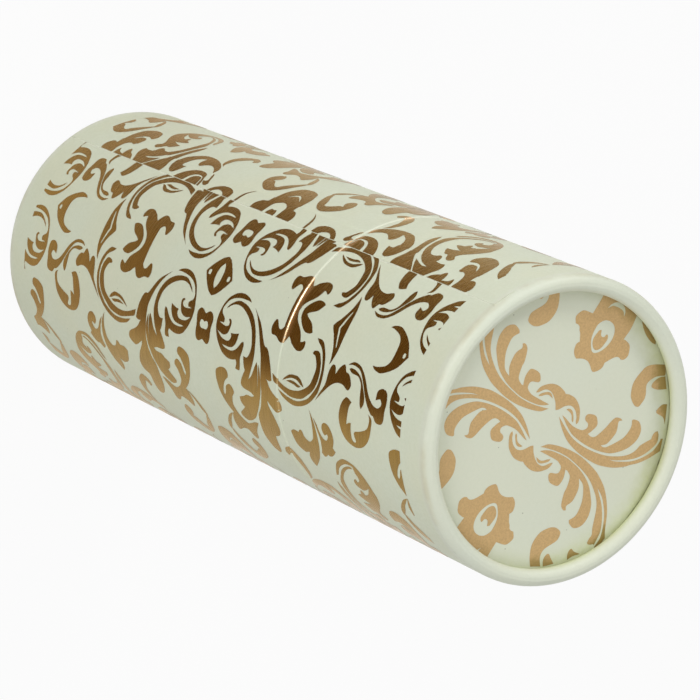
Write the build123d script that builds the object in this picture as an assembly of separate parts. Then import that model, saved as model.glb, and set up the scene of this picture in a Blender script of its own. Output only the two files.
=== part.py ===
from build123d import *
import math
import os

# Cylindrical two-part board box with a lift-off lid, standing on its foot.
# Origin: centre of the foot. +Z: along the tube, towards the lid. Millimetres.

# Overall sizes
tube_diameter = 100.0       # outside of the paper-covered tube, base and lid alike
base_height = 190.8         # foot to shoulder
lid_height = 87.4           # mouth of the lid to its top rim

# Board and paper
board_wall = 1.4            # wound board of the base and lid tubes
neck_wall = 1.2             # wound board of the inner tube
disc_board = 1.6            # flat board of the end discs
paper = 0.2                 # printed paper, one layer with its glue

# Rolled rims at the foot and the top
roll_diameter = 5.5         # across the finished roll, paper included
roll_turn = 237.0           # degrees that the wall is curled round
rim_flat = 1.0              # width pressed flat at the crown of the roll

# Mouths, where base and lid meet
mouth_round = 0.8           # rounding of the paper-covered outer edge
turn_in = 9.0               # paper folded back inside the mouth
neck_reach = 42.0           # inner tube standing above the shoulder
neck_gap = 0.3              # all round, between the inner tube and the turned-in paper
neck_bevel = 0.4            # softened top edge of the inner tube
disc_gap = 0.1              # all round, between an end disc and its tube

# Lengthwise lap of the paper
lap_width = 8.0             # paper lying double
lap_edge = -123.0           # degrees round +Z from +X to the cut edge that shows

# Worked out from the sizes above
tube_radius = tube_diameter / 2
board_radius = tube_radius - paper
bore_radius = board_radius - board_wall
neck_radius = bore_radius - paper - neck_gap
roll_radius = roll_diameter / 2
press_depth = roll_radius - math.sqrt(roll_radius**2 - (rim_flat / 2) ** 2)
roll_centre = (tube_radius - roll_radius, roll_radius - press_depth)
total_height = base_height + lid_height


def rolled_wall(outside, inside, mouth):
    """Half section of a straight wall whose lower end is curled in, radius across and height up."""
    centre_x, centre_y = roll_centre
    outer_curl = CenterArc(roll_centre, outside - centre_x, 0, -roll_turn)
    inner_curl = CenterArc(roll_centre, inside - centre_x, 0, -roll_turn)
    outline = [
        Line((outside, mouth), (outside, centre_y)),
        outer_curl,
        Line(outer_curl @ 1, inner_curl @ 1),
        inner_curl,
        Line((inside, centre_y), (inside, mouth)),
        Line((inside, mouth), (outside, mouth)),
    ]
    return make_face(outline)


def mouth_corners(section):
    """Inner and outer corner at the mouth of a half section."""
    return section.vertices().sort_by(Axis.Y)[-2:].sort_by(Axis.X)


def board_section(height):
    """Wound board of one tube: straight wall, curled foot, outer edge of the mouth bevelled."""
    section = rolled_wall(board_radius, bore_radius, height - paper)
    outer_corner = mouth_corners(section)[1]
    return chamfer(outer_corner, min(mouth_round - paper, 0.45 * board_wall))


def paper_section(height):
    """Paper on the outside of one tube, round its curl, over its mouth and down inside it."""
    covered = rolled_wall(tube_radius, bore_radius, height)
    fold = Pos(bore_radius - paper / 2, height - turn_in / 2) * Rectangle(paper, turn_in)
    covered = (covered + fold).face()
    covered = fillet(mouth_corners(covered)[1], min(mouth_round, 0.45 * (board_wall + paper)))
    covered = chamfer(mouth_corners(covered)[0], paper / 2)
    pressed = Pos(tube_radius, -roll_radius) * Rectangle(4 * roll_diameter, roll_diameter)
    return covered - pressed - board_section(height)


def turned(section):
    """Solid of revolution about the tube's axis."""
    return revolve(Plane.XZ * section, Axis.Z)


def sector(radius, foot, height, first_degree, last_degree):
    """Cylinder sector used for the double layer at the lap."""
    blank = Cylinder(radius, height, arc_size=last_degree - first_degree,
                     align=(Align.NONE, Align.NONE, Align.MIN))
    return Pos(0, 0, foot) * Rot(0, 0, first_degree) * blank


def lap(foot, height):
    """Second layer of paper over the lap, on the straight part of the wall."""
    span = math.degrees(lap_width / tube_radius)
    outer = sector(tube_radius + paper, foot, height, lap_edge - span, lap_edge)
    return outer - Pos(0, 0, foot) * Cylinder(
        tube_radius, height, align=(Align.CENTER, Align.CENTER, Align.MIN))


def curl_depth():
    """Depth at which the curled edge meets the end disc, from the crown of the rim."""
    curl = rolled_wall(tube_radius, bore_radius, base_height) & (
        Pos(roll_centre[0] - tube_radius / 2, base_height / 2) * Rectangle(tube_radius, base_height))
    return curl.bounding_box().max.Y


def plate(radius, foot, thickness):
    """Round flat sheet lying at a height."""
    return Pos(0, 0, foot) * Cylinder(radius, thickness, align=(Align.CENTER, Align.CENTER, Align.MIN))


def end_disc(seat):
    """Board disc behind its printed paper, and the paper that faces out of the rim."""
    radius = bore_radius - disc_gap
    facing = plate(radius, seat, paper)
    board = plate(radius, seat + paper, disc_board)
    return board, facing


def neck_tube(foot):
    """Inner tube that stands on the base disc and reaches up past the shoulder."""
    height = base_height + neck_reach - foot
    outline = Pos(neck_radius - neck_wall / 2, foot + height / 2) * Rectangle(neck_wall, height)
    return turned(chamfer(mouth_corners(outline), min(neck_bevel, 0.45 * neck_wall)))


def as_lid(piece):
    """Piece modelled foot down, turned over about the X axis so that its rim is the top of the box."""
    return Pos(0, 0, total_height) * Rot(180, 0, 0) * piece


seat = curl_depth()
straight_foot = roll_centre[1]
base_lap_height = base_height - mouth_round - straight_foot
lid_lap_height = lid_height - mouth_round - straight_foot

base_disc, base_facing = end_disc(seat)
lid_disc, lid_facing = end_disc(seat)

parts = {
    "base_tube": turned(board_section(base_height)),
    "base_wrap": turned(paper_section(base_height)) + lap(straight_foot, base_lap_height),
    "base_end_disc": base_disc,
    "base_disc_paper": base_facing,
    "neck_tube": neck_tube(seat + paper + disc_board),
    "lid_tube": as_lid(turned(board_section(lid_height))),
    "lid_wrap": as_lid(turned(paper_section(lid_height)))
    + lap(base_height + mouth_round, lid_lap_height),
    "lid_end_disc": as_lid(lid_disc),
    "lid_disc_paper": as_lid(lid_facing),
}

os.makedirs("parts", exist_ok=True)
for name, piece in parts.items():
    export_step(piece, f"parts/{name}.step")
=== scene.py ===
import math

import bpy
import numpy as np
from mathutils import Matrix, Vector
from mathutils.geometry import delaunay_2d_cdt


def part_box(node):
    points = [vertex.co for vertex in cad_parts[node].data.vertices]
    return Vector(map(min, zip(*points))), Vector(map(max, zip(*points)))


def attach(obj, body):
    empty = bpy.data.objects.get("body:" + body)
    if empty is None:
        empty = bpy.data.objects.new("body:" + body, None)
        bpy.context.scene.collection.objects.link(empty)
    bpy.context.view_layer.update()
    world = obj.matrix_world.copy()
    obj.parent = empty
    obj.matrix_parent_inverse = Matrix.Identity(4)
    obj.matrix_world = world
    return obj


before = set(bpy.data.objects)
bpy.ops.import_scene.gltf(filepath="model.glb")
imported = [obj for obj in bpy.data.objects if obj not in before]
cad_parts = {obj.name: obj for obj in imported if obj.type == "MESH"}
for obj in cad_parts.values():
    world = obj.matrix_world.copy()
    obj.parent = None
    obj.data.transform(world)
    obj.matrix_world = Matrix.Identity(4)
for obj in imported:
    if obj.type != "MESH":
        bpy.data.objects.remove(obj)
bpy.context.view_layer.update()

# The base tube is the long tube of the box: grey board wound in a spiral from glued strips, with its
# foot curled inwards. Its wall shows only where the paper ends inside the mouth, and is given the
# climbing seam and the long fibres of such board.

grey_board = (0.34, 0.27, 0.19)
board_seam = (0.12, 0.09, 0.06)
board_strip = 0.062                     # width of the strip that the tube is wound from, metres
seam_share = 0.012                      # half the seam's width, as a share of the strip
fibre_relief = 0.00015                  # depth of the bump, metres, as for each relief below


def new_finish(name, colour, roughness, metal=0.0):
    """Material with one shader; its colour is written as linear light."""
    finish = bpy.data.materials.new(name)
    finish.use_nodes = True
    shader = finish.node_tree.nodes["Principled BSDF"]
    shader.inputs["Base Color"].default_value = (*colour, 1.0)
    shader.inputs["Roughness"].default_value = roughness
    shader.inputs["Metallic"].default_value = metal
    return finish, finish.node_tree, shader


def feed(tree, socket, value):
    """Joins a socket to another, or sets its value."""
    if isinstance(value, bpy.types.NodeSocket):
        tree.links.new(value, socket)
    else:
        socket.default_value = value


def calc(tree, operation, *values):
    """One step of arithmetic on numbers."""
    step = tree.nodes.new("ShaderNodeMath")
    step.operation = operation
    for socket, value in zip(step.inputs, values):
        feed(tree, socket, value)
    return step.outputs[0]


def product(tree, first, *others):
    """All the values multiplied together."""
    for value in others:
        first = calc(tree, "MULTIPLY", first, value)
    return first


def band(tree, value, low, high, to_low=0.0, to_high=1.0):
    """Soft step from one level to another as value goes from low to high."""
    step = tree.nodes.new("ShaderNodeMapRange")
    step.interpolation_type = "SMOOTHSTEP"
    for socket, number in zip(step.inputs, (value, low, high, to_low, to_high)):
        feed(tree, socket, number)
    return step.outputs[0]


def blend_colour(tree, amount, first, second):
    """Mixes two colours, given as sockets or as linear light."""
    mix = tree.nodes.new("ShaderNodeMix")
    mix.data_type = "RGBA"
    feed(tree, mix.inputs[0], amount)
    for socket, colour in ((mix.inputs[6], first), (mix.inputs[7], second)):
        feed(tree, socket, (*colour, 1.0) if isinstance(colour, tuple) else colour)
    return mix.outputs[2]


def darker(colour, share):
    """The colour at a share of its light."""
    return tuple(share * c for c in colour)


def noise(tree, place, scale, detail, rough):
    """Cloudy value from 0 to 1 at a place."""
    cloud = tree.nodes.new("ShaderNodeTexNoise")
    feed(tree, cloud.inputs["Vector"], place)
    cloud.inputs["Scale"].default_value = scale
    cloud.inputs["Detail"].default_value = detail
    cloud.inputs["Roughness"].default_value = rough
    return cloud.outputs[0]


def join_place(tree, x, y, z):
    """A place from three numbers."""
    place = tree.nodes.new("ShaderNodeCombineXYZ")
    for socket, value in zip(place.inputs, (x, y, z)):
        feed(tree, socket, value)
    return place.outputs[0]


def tube_places(tree):
    """Place on the object, distance from the axis, angle round it and height."""
    where = tree.nodes.new("ShaderNodeTexCoord").outputs["Object"]
    parts = tree.nodes.new("ShaderNodeSeparateXYZ")
    feed(tree, parts.inputs[0], where)
    x, y, z = parts.outputs
    square = calc(tree, "ADD", product(tree, x, x), product(tree, y, y))
    return where, calc(tree, "SQRT", square), calc(tree, "ARCTAN2", y, x), z


def raise_surface(tree, shader, height, depth):
    """Bump from a height value, depth in metres."""
    bump = tree.nodes.new("ShaderNodeBump")
    bump.inputs["Distance"].default_value = depth
    feed(tree, bump.inputs["Height"], height)
    feed(tree, shader.inputs["Normal"], bump.outputs[0])


def dress(node, finish):
    """Gives a carried-over node its finish."""
    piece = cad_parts[node]
    piece.data.materials.clear()
    piece.data.materials.append(finish)


def wound_finish(name, colour, seam_colour, strip_width, roughness):
    """Board wound from a strip: one seam climbing round the tube, long fibres, pressed flat."""
    finish, tree, shader = new_finish(name, colour, roughness)
    where, across, angle, height = tube_places(tree)
    turns = calc(tree, "DIVIDE", angle, 2 * math.pi)
    climb = calc(tree, "FRACT", calc(tree, "ADD", calc(tree, "DIVIDE", height, strip_width), turns))
    off_seam = calc(tree, "ABSOLUTE", calc(tree, "SUBTRACT", climb, 0.5))
    seam = band(tree, off_seam, 0.0, seam_share, 1.0, 0.0)
    fibre_place = join_place(tree, product(tree, angle, 0.9), across, product(tree, height, 60.0))
    fibres = noise(tree, fibre_place, 9.0, 6.0, 0.7)
    clouds = noise(tree, where, 70.0, 5.0, 0.6)
    tone = blend_colour(tree, band(tree, clouds, 0.3, 0.7, 0.0, 0.5), colour, darker(colour, 0.8))
    tone = blend_colour(tree, band(tree, fibres, 0.5, 0.75, 0.0, 0.35), tone, darker(colour, 0.7))
    feed(tree, shader.inputs["Base Color"], blend_colour(tree, seam, tone, seam_colour))
    feed(tree, shader.inputs["Roughness"], band(tree, fibres, 0.2, 0.8, roughness - 0.06, roughness + 0.04))
    raise_surface(tree, shader, calc(tree, "SUBTRACT", product(tree, fibres, 0.25), seam), fibre_relief)
    return finish


tube_finish = wound_finish("wound_board", grey_board, board_seam, board_strip, 0.9)
dress("base_tube", tube_finish)

# The base's end disc is flat grey board punched round and pushed in behind the curled foot. Inside
# the box its bare board shows: short pressed fibres with a few darker flecks.

flat_board = (0.40, 0.35, 0.27)
flecks_per_metre = 420.0
board_relief = 0.00008


def flat_board_finish(name, colour):
    """Pressed grey board with flecks."""
    finish, tree, shader = new_finish(name, colour, 0.92)
    where = tree.nodes.new("ShaderNodeTexCoord").outputs["Object"]
    clouds = noise(tree, where, 160.0, 6.0, 0.7)
    flecks = tree.nodes.new("ShaderNodeTexVoronoi")
    feed(tree, flecks.inputs["Vector"], where)
    flecks.inputs["Scale"].default_value = flecks_per_metre
    fleck = band(tree, flecks.outputs["Distance"], 0.06, 0.16, 0.6, 0.0)
    tone = blend_colour(tree, band(tree, clouds, 0.35, 0.7), colour, darker(colour, 0.78))
    feed(tree, shader.inputs["Base Color"], blend_colour(tree, fleck, tone, board_seam))
    raise_surface(tree, shader, clouds, board_relief)
    return finish


disc_finish = flat_board_finish("flat_board", flat_board)
dress("base_end_disc", disc_finish)

# The base's disc paper is pale mint paper glued over the end disc. The curled foot rests on it all
# round, and glue squeezed out there has stained it yellow-green, more on one side than on the other.
# Near the rim it carries a painted shadow of the curl, darkest on one side, and a painted dark line
# of shade in the gap under the curl. A few specks of board dust lie on it.

tube_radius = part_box("base_wrap")[1].x
curl_reach = 0.0043                     # the curl meets the disc this far in from the outside
contact_radius = tube_radius - curl_reach
mint_paper = (0.67, 0.695, 0.53)
mint_cloud = (0.66, 0.705, 0.56)
mint_fibre = (0.60, 0.64, 0.48)
disc_bloom = (0.70, 0.72, 0.60)         # the disc's paper is a little paler than the tube's
glue_stain = (0.56, 0.60, 0.31)
painted_rim_shadow = (0.42, 0.43, 0.28)
contact_shade = (0.15, 0.15, 0.05)
dust_speck = (0.10, 0.09, 0.06)
speck_cells = 190.0                     # cells per metre, each with one speck or none
glue_and_shade_way = math.radians(90)          # most glue, and the darkest painted shade under the curl, is on this side
rim_shadow_way = math.radians(135)            # the painted shadow of the curl is darkest on this side
line_wander = 0.0024                    # how far the dark contact line strays, metres
stain_ring = (contact_radius - 0.002, contact_radius + 0.009)
rim_shadow_ring = (contact_radius - 0.004, contact_radius + 0.008)
line_ring = (contact_radius - 0.0004, contact_radius + 0.0003)
paper_relief = 0.00003


def towards(tree, angle, way):
    """1 on the side of the tube that faces a way, -1 on the side that faces away."""
    return calc(tree, "COSINE", calc(tree, "SUBTRACT", angle, way))


def glue_and_shade_side(tree, angle):
    """How much glue came out at each disc's edge on the way round it; it also sets how dark the painted
    shade under the curl is.
    """
    return band(tree, towards(tree, angle, glue_and_shade_way), -0.35, 0.75, 0.12, 1.0)


def specks(tree, where, tone, share):
    """Scattered dust specks over a colour, in a share of their cells."""
    cells = tree.nodes.new("ShaderNodeTexVoronoi")
    feed(tree, cells.inputs["Vector"], where)
    cells.inputs["Scale"].default_value = speck_cells
    pick = tree.nodes.new("ShaderNodeSeparateColor")
    feed(tree, pick.inputs[0], cells.outputs["Color"])
    chosen = calc(tree, "LESS_THAN", pick.outputs[0], share)
    dot = band(tree, cells.outputs["Distance"], 0.02, 0.055, 0.7, 0.0)
    return blend_colour(tree, product(tree, chosen, dot), tone, dust_speck)


def paper_tone(tree, where):
    """Mint paper with faint clouds and fibres in it, and the fibres' own value."""
    clouds = noise(tree, where, 38.0, 3.0, 0.5)
    tone = blend_colour(tree, band(tree, clouds, 0.3, 0.7), mint_paper, mint_cloud)
    fibres = noise(tree, where, 900.0, 3.0, 0.6)
    return blend_colour(tree, band(tree, fibres, 0.3, 0.75, 0.0, 0.4), tone, mint_fibre), fibres


def disc_paper_finish(name):
    """Mint paper on a disc, stained towards the curl, with a painted shadow of the curl and painted shade
    in the gap under it.
    """
    finish, tree, shader = new_finish(name, mint_paper, 0.6)
    where, across, angle, _ = tube_places(tree)
    tone, fibres = paper_tone(tree, where)
    tone = blend_colour(tree, 0.5, tone, disc_bloom)
    patches = noise(tree, where, 60.0, 4.0, 0.65)
    reach = calc(tree, "ADD", across, product(tree, patches, 0.014))
    stain_and_shade_side = glue_and_shade_side(tree, angle)
    grainy = band(tree, noise(tree, where, 420.0, 3.0, 0.7), 0.35, 0.65, 0.6, 1.0)
    stain = band(tree, reach, *stain_ring, 0.0, 0.9)
    tone = blend_colour(tree, product(tree, stain_and_shade_side, grainy, stain), tone, glue_stain)
    # Painted shadow of the curl on the disc paper, darkest on one side near the rim.
    rim_shadow_side = band(tree, towards(tree, angle, rim_shadow_way), 0.35, 0.95)
    rim_shadow = band(tree, reach, *rim_shadow_ring, 0.0, 0.5)
    tone = blend_colour(tree, product(tree, rim_shadow_side, rim_shadow), tone, painted_rim_shadow)
    # Painted shade: a dark line in the gap under the curl, darker on the glued side.
    wobble = calc(tree, "SUBTRACT", noise(tree, where, 90.0, 3.0, 0.6), 0.5)
    edge = calc(tree, "ADD", across, product(tree, wobble, line_wander))
    line = band(tree, edge, *line_ring, 0.0, 0.8)
    line = product(tree, band(tree, stain_and_shade_side, 0.1, 0.8, 0.35, 1.0), line)
    tone = blend_colour(tree, line, tone, contact_shade)
    feed(tree, shader.inputs["Base Color"], specks(tree, where, tone, 0.9))
    feed(tree, shader.inputs["Roughness"], band(tree, fibres, 0.2, 0.8, 0.52, 0.68))
    raise_surface(tree, shader, fibres, paper_relief)
    return finish


disc_paper = disc_paper_finish("disc_paper")
dress("base_disc_paper", disc_paper)

# The base's wrap is printed paper glued round the tube with one lengthwise lap, drawn over the curl
# at the foot and folded down inside the mouth. The curl has wrinkled it across the rim, and the
# rim's shoulder is browner in patches. A painted highlight pales the rounded edge at the mouth,
# painted shade darkens the groove where the curl meets the disc, and beside the lap a paler strip
# is the sheet's white cut edge and painted light against the step's shadow.

seam_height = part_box("base_wrap")[1].z
top_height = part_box("lid_wrap")[1].z
lap_edge = math.radians(-123)           # the lap's free edge, round from +X
mouth_highlight_paper = (0.86, 0.87, 0.74)
curl_paper = (0.71, 0.74, 0.65)
painted_groove_shade = (0.30, 0.27, 0.12)
browner_shoulder_paper = (0.50, 0.44, 0.26)
lap_lightened_paper = (0.90, 0.91, 0.80)
inner_fade = (0.0052, 0.0030)           # the curl's inner side begins this far in from the outside
outer_fade = (0.0016, 0.0004)           # and its outer side here

# Distances from the nearer end of the box over which these marks come in or go out.
curl_fade = (0.0030, 0.0058)            # wrinkles and paler paper of the curl go out
stain_fade = (0.0020, 0.0055)           # glue stain comes in, inside the curl
groove_shade_fade = (0.0046, 0.0062)            # painted shade comes in, in the groove
shoulder_low = (0.0004, 0.0018)         # the browner shoulder comes in
shoulder_high = (0.0022, 0.0052)        # and goes out
lap_lightening_start = (0.0035, 0.0060)            # the paler strip beside the lap comes in

lap_lightening_turn = (0.001, 0.014)             # the strip fades over these angles past the lap's edge
mouth_line = 0.0005                     # the painted highlight is palest up to here from the seam
wrap_mouth = 0.0011                     # and has faded here
wrap_relief = 0.0002


def mouth_edge(tree, angle, height, reach, base_side=1.0):
    """Painted highlight on the rounded mouths, strongest on the -X side; base_side makes it narrower on the
    base.
    """
    above = calc(tree, "SUBTRACT", height, seam_height)
    off = calc(tree, "MAXIMUM", above, product(tree, above, -base_side))
    one_side = band(tree, towards(tree, angle, 0.0), -0.1, 0.45, 1.0, 0.15)
    return product(tree, one_side, band(tree, off, mouth_line, reach, 1.0, 0.0))


def across_band(tree, across, fade, *levels):
    """Soft step over a range of depths that are measured in from the outside of the tube."""
    return band(tree, across, tube_radius - fade[0], tube_radius - fade[1], *levels)


def wrap_finish(name):
    """Mint paper on the tube: wrinkles on the curl, glue stain and painted shade where it meets the disc,
    painted light at mouth and lap.
    """
    finish, tree, shader = new_finish(name, mint_paper, 0.5)
    where, across, angle, height = tube_places(tree)
    tone, fibres = paper_tone(tree, where)
    off_middle = calc(tree, "ABSOLUTE", calc(tree, "SUBTRACT", height, top_height / 2))
    from_end = calc(tree, "SUBTRACT", top_height / 2, off_middle)
    on_curl = band(tree, from_end, *curl_fade, 1.0, 0.0)
    tone = blend_colour(tree, product(tree, on_curl, 0.4), tone, curl_paper)

    glue_and_shade_inside = product(tree, across_band(tree, across, inner_fade, 1.0, 0.0), glue_and_shade_side(tree, angle))
    patches = noise(tree, where, 60.0, 3.0, 0.6)
    depth = calc(tree, "ADD", from_end, product(tree, patches, 0.0022))
    stain = product(tree, glue_and_shade_inside, band(tree, depth, *stain_fade, 0.0, 0.8))
    tone = blend_colour(tree, stain, tone, glue_stain)
    # Painted shade in the groove where the curl meets the disc, on the glued side.
    groove_shade = product(tree, glue_and_shade_inside, band(tree, depth, *groove_shade_fade, 0.0, 0.7))
    tone = blend_colour(tree, groove_shade, tone, painted_groove_shade)

    # The outside of the rim's shoulder is browner in patches.
    shoulder = product(tree, band(tree, from_end, *shoulder_low),
                       band(tree, from_end, *shoulder_high, 1.0, 0.0))
    turn_place = join_place(tree, calc(tree, "COSINE", angle), calc(tree, "SINE", angle),
                            product(tree, height, 20.0))
    shoulder_patches = band(tree, noise(tree, turn_place, 1.6, 4.0, 0.6), 0.42, 0.62, 0.0, 0.4)
    browner_shoulder = product(tree, shoulder, across_band(tree, across, outer_fade), shoulder_patches)
    tone = blend_colour(tree, browner_shoulder, tone, browner_shoulder_paper)

    # Painted highlight: the rounded edge of the mouth is paler, most on one side.
    mouth_glint = mouth_edge(tree, angle, height, wrap_mouth)
    tone = blend_colour(tree, product(tree, mouth_glint, 0.4), tone, mouth_highlight_paper)
    # Paler strip beside the lap's edge: the sheet's white cut edge, and painted light against the shadow of
    # the lap's step.
    past_lap = calc(tree, "SUBTRACT", angle, lap_edge)
    beside_lap = band(tree, past_lap, *lap_lightening_turn, 0.5, 0.0)
    lap_lightening = product(tree, calc(tree, "GREATER_THAN", past_lap, -0.001), beside_lap,
                      band(tree, from_end, *lap_lightening_start))
    tone = blend_colour(tree, lap_lightening, tone, lap_lightened_paper)
    feed(tree, shader.inputs["Base Color"], specks(tree, where, tone, 0.2))
    feed(tree, shader.inputs["Roughness"], band(tree, fibres, 0.2, 0.8, 0.42, 0.58))

    wrinkle_place = join_place(tree, angle, product(tree, across, 4.0), product(tree, height, 4.0))
    wrinkles = noise(tree, wrinkle_place, 55.0, 3.0, 0.6)
    relief = calc(tree, "ADD", product(tree, fibres, 0.10), product(tree, wrinkles, on_curl, 0.3))
    raise_surface(tree, shader, relief, wrap_relief)
    return finish


wrap_paper = wrap_finish("printed_paper")
dress("base_wrap", wrap_paper)

# The neck tube is the inner tube, wound from thinner board with a white face, glued inside the base
# and standing up past its mouth. The lid slides down over it.

white_board = (0.74, 0.72, 0.66)
white_board_seam = (0.42, 0.38, 0.31)
neck_strip = 0.055                      # width of the strip that the neck is wound from, metres

neck_finish = wound_finish("neck_board", white_board, white_board_seam, neck_strip, 0.7)
dress("neck_tube", neck_finish)

# The base's foil is thin gold leaf hot-stamped on the paper from a flat plate before the sheet was
# rolled, so its scrolls follow the tube, step over the lap and stop short of the curl. The scrolls
# are drawn on the flat sheet as outlines, and each inner list starts at a sharp corner.

drawing_scale = 0.001 / 5.6             # metres per drawing unit
first_angle = math.radians(-177.76)     # angle round the tube of drawing row 0
middle_column = 796                     # mirror line across the tube
middle_row = 417                        # mirror line along the tube
back_row = 1013.5                       # next mirror line, on the back
repeat_rows = 2 * (back_row - middle_row)
field_start, field_end = 75, 1475       # where the print stops, foot side and top side
sheet_start = 267                       # cut edge of the paper at the lap
foil_lift = 0.00004                     # foil stands this far off the paper
mouth_round = 0.0008                    # rounding of the paper at both mouths
lap_width = 0.008                       # paper lying double along the lap
lap_step = 0.0002                       # one layer of paper

# An outline whose name starts with hole is left open in the scroll round it.
medallion = [
    [(796, 377), (810, 383), (830, 401)],
    [(843, 417), (830, 433), (810, 451)],
    [(796, 457)],
]
hole_medallion_slot = [
    [(795, 390), (802, 398), (806, 408), (806, 426), (802, 436)],
    [(795, 444)],
]
hole_medallion_dot = [
    [(834.5, 417), (833, 421.5), (826, 421.5), (826, 412.5), (833, 412.5), (834.5, 417)],
]
block = [
    [(796, 492), (809, 485), (817, 486), (824, 492), (825, 501), (822, 516), (822, 534), (819, 543),
     (811, 547)],
    [(796, 541)],
]
hole_block_window = [
    [(796, 508), (803, 505), (808, 506), (811, 513), (809, 518), (804, 521)],
    [(796, 521)],
]
volute = [
    [(932, 439), (922, 433), (898, 429), (872, 436), (850, 456), (838, 495), (846, 522), (865, 544),
     (878, 551), (893, 554), (908, 553)],
    [(920, 550), (923, 556)],
    [(920, 567), (934, 567), (936, 558), (935, 545), (941, 528), (943, 518)],
    [(941, 512), (935, 514), (928, 522), (918, 531), (905, 537), (890, 538), (875, 536)],
    [(868, 533), (892, 533), (905, 530), (914, 522), (919, 512)],
    [(921, 501), (905, 505)],
    [(893, 506), (896, 512), (893, 519), (885, 523), (863, 521)],
    [(846, 511), (865, 515), (876, 513), (884, 507), (889, 490), (886, 484), (880, 482)],
    [(877, 484), (882, 488), (882, 493), (877, 497), (868, 498)],
    [(848, 495), (856, 494), (862, 494), (864, 490), (862, 485)],
    [(852, 479), (849, 474), (850, 466), (863, 450), (885, 441), (915, 438)],
]
ring = [
    [(860, 467), (866, 459), (885, 447), (900, 444), (930, 449), (958, 465), (976, 490), (983, 520),
     (982, 535), (978, 550)],
    [(967, 576), (978, 566), (989, 545)],
    [(994, 537), (998, 545), (999, 575), (991, 599)],
    [(983, 604), (972, 600), (948, 598)],
    [(940, 595), (938, 590), (944, 577)],
    [(954, 562), (950, 555)],
    [(946, 537), (958, 537), (965, 530), (969, 520), (969, 508), (958, 483), (935, 464), (905, 453),
     (880, 455)],
]
side_leaf = [
    [(983, 604), (975, 608), (955, 609), (945, 614)],
    [(927, 620), (928, 628), (933, 634)],
    [(940, 638)],
    [(917, 655), (919, 661), (940, 666), (970, 653), (985, 637), (998, 617), (1008, 592), (1010, 570),
     (1005, 548)],
    [(1001, 540), (1000, 575), (991, 599)],
]
plume = [
    [(948, 444), (978, 463), (990, 474), (1008, 497), (1015, 503), (1020, 503), (1028, 508),
     (1041, 531)],
    [(1049, 558), (1042, 561)],
    [(1030, 560), (1034, 563), (1040, 571), (1050, 579), (1076, 592), (1081, 600), (1080, 607),
     (1062, 616), (1052, 614)],
    [(1030, 601), (1033, 610), (1048, 630), (1057, 650), (1055, 660), (1048, 667)],
    [(1032, 673), (1030, 680), (1030, 692), (1028, 705), (1024, 712), (1018, 714), (1008, 712),
     (998, 705), (985, 683), (986, 645), (990, 637), (1000, 625), (1007, 610)],
    [(1012, 588), (1007, 530), (1002, 515), (985, 483), (965, 458)],
]
hook_leaf = [
    [(976, 662), (965, 663), (935, 674), (925, 673), (905, 661), (894, 645), (898, 628), (907, 618),
     (906, 612), (900, 606), (893, 604), (880, 611), (875, 625)],
    [(870, 631), (867, 627), (869, 617), (878, 601)],
    [(890, 592), (891, 587), (888, 580), (880, 576), (860, 579), (846, 590), (850, 622), (863, 644),
     (880, 660)],
    [(886, 664), (880, 668), (874, 685), (875, 695)],
    [(879, 704), (886, 703), (902, 695), (922, 693), (934, 704), (942, 707), (950, 703), (955, 688)],
]
scroll_sliver = [
    [(880, 667), (870, 671), (858, 679), (841, 700), (838, 712)],
    [(842, 717), (855, 700), (860, 690)],
]
scroll_head = [
    [(843, 709), (842, 724), (855, 753), (865, 765), (878, 774), (892, 778), (905, 776), (930, 761),
     (938, 749), (941, 736), (938, 726), (932, 718), (924, 713), (917, 715), (911, 721), (910, 729)],
    [(920, 742), (912, 743), (898, 754), (888, 759), (880, 758)],
    [(877, 752), (868, 740), (860, 732)],
]
crossing = [
    [(1057, 410)],
    [(1058, 455), (1053, 460), (1048, 462), (1042, 460), (1031, 447), (1026, 448), (1020, 463),
     (1025, 475), (1038, 476), (1045, 478), (1052, 482), (1060, 484), (1067, 483), (1073, 479)],
    [(1082, 467), (1088, 471), (1095, 477), (1115, 485), (1130, 483), (1136, 477), (1138, 470),
     (1137, 465), (1134, 463), (1126, 467)],
    [(1121, 468), (1115, 456), (1108, 448), (1092, 436), (1085, 427)],
    [(1082, 417)],
    [(1082, 410)],
]
bow = [
    [(1147, 444), (1135, 430), (1115, 421)],
    [(1109, 417)],
    [(1109, 410)],
    [(1093, 410), (1096, 427), (1120, 447), (1140, 448)],
]
inner_c = [
    [(1168, 477), (1172, 472), (1185, 470), (1192, 474), (1202, 492), (1202, 518), (1190, 540),
     (1160, 562), (1148, 567), (1120, 571), (1105, 570), (1062, 559), (1055, 556)],
    [(1051, 543), (1085, 555), (1115, 558), (1145, 552), (1170, 539), (1180, 529), (1189, 505),
     (1188, 494), (1178, 480), (1172, 479)],
]
outer_c = [
    [(1168, 449), (1185, 449), (1195, 455), (1210, 477), (1215, 508), (1208, 536), (1200, 548),
     (1178, 567), (1150, 580), (1120, 585), (1090, 579), (1080, 574)],
    [(1072, 567), (1100, 573), (1135, 574), (1165, 564), (1178, 556), (1197, 536), (1204, 523),
     (1207, 495), (1197, 470), (1188, 461), (1178, 456)],
]
upper_lid = [
    [(1086, 547), (1092, 541), (1110, 531), (1135, 528), (1145, 531), (1153, 537)],
    [(1158, 543), (1150, 542), (1135, 536), (1115, 536)],
]
lower_lid = [
    [(1098, 545), (1118, 540)],
    [(1148, 544), (1143, 547), (1135, 548), (1125, 546)],
]
kite = [
    [(1197, 417), (1203, 425), (1210, 432), (1223, 454), (1227, 474)],
    [(1226, 484), (1232, 476), (1240, 454)],
    [(1242, 417)],
]
hole_kite_slit = [
    [(1216, 417)],
    [(1230, 452)],
    [(1232, 451), (1225, 426)],
    [(1221, 417)],
]
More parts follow.
